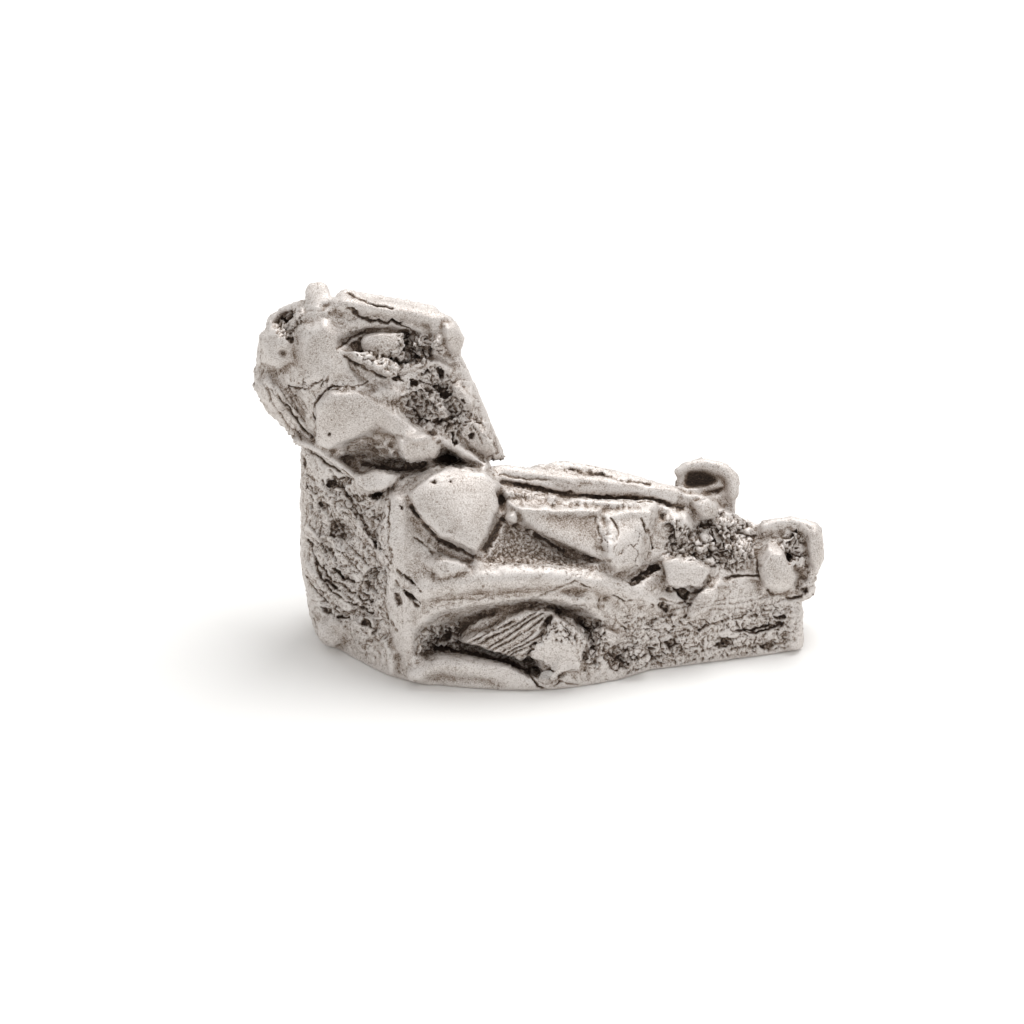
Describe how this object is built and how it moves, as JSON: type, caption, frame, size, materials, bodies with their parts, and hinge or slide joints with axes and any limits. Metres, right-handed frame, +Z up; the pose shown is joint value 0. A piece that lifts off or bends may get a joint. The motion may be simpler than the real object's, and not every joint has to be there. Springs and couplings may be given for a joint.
{
  "type": "meteorite",
  "caption": "Rough lump of pitted grey metal with a tall knobbly head over a neck at one end and a long low arm at the other, standing on a flat base.",
  "frame": {"origin": "under the middle of the bounding box, on the flat base", "axes": "+X along the length, from the tall head towards the low arm; +Y towards the back; +Z up"},
  "size_m": [0.0598, 0.0214, 0.0412],
  "materials": {
    "meteoritic_iron": "bright pewter-grey metal, satin on the ridges, dark brown patina in the hollows"
  },
  "bodies": {
    "root": {"meteorite": "meteoritic_iron"}
  },
  "joints": []
}
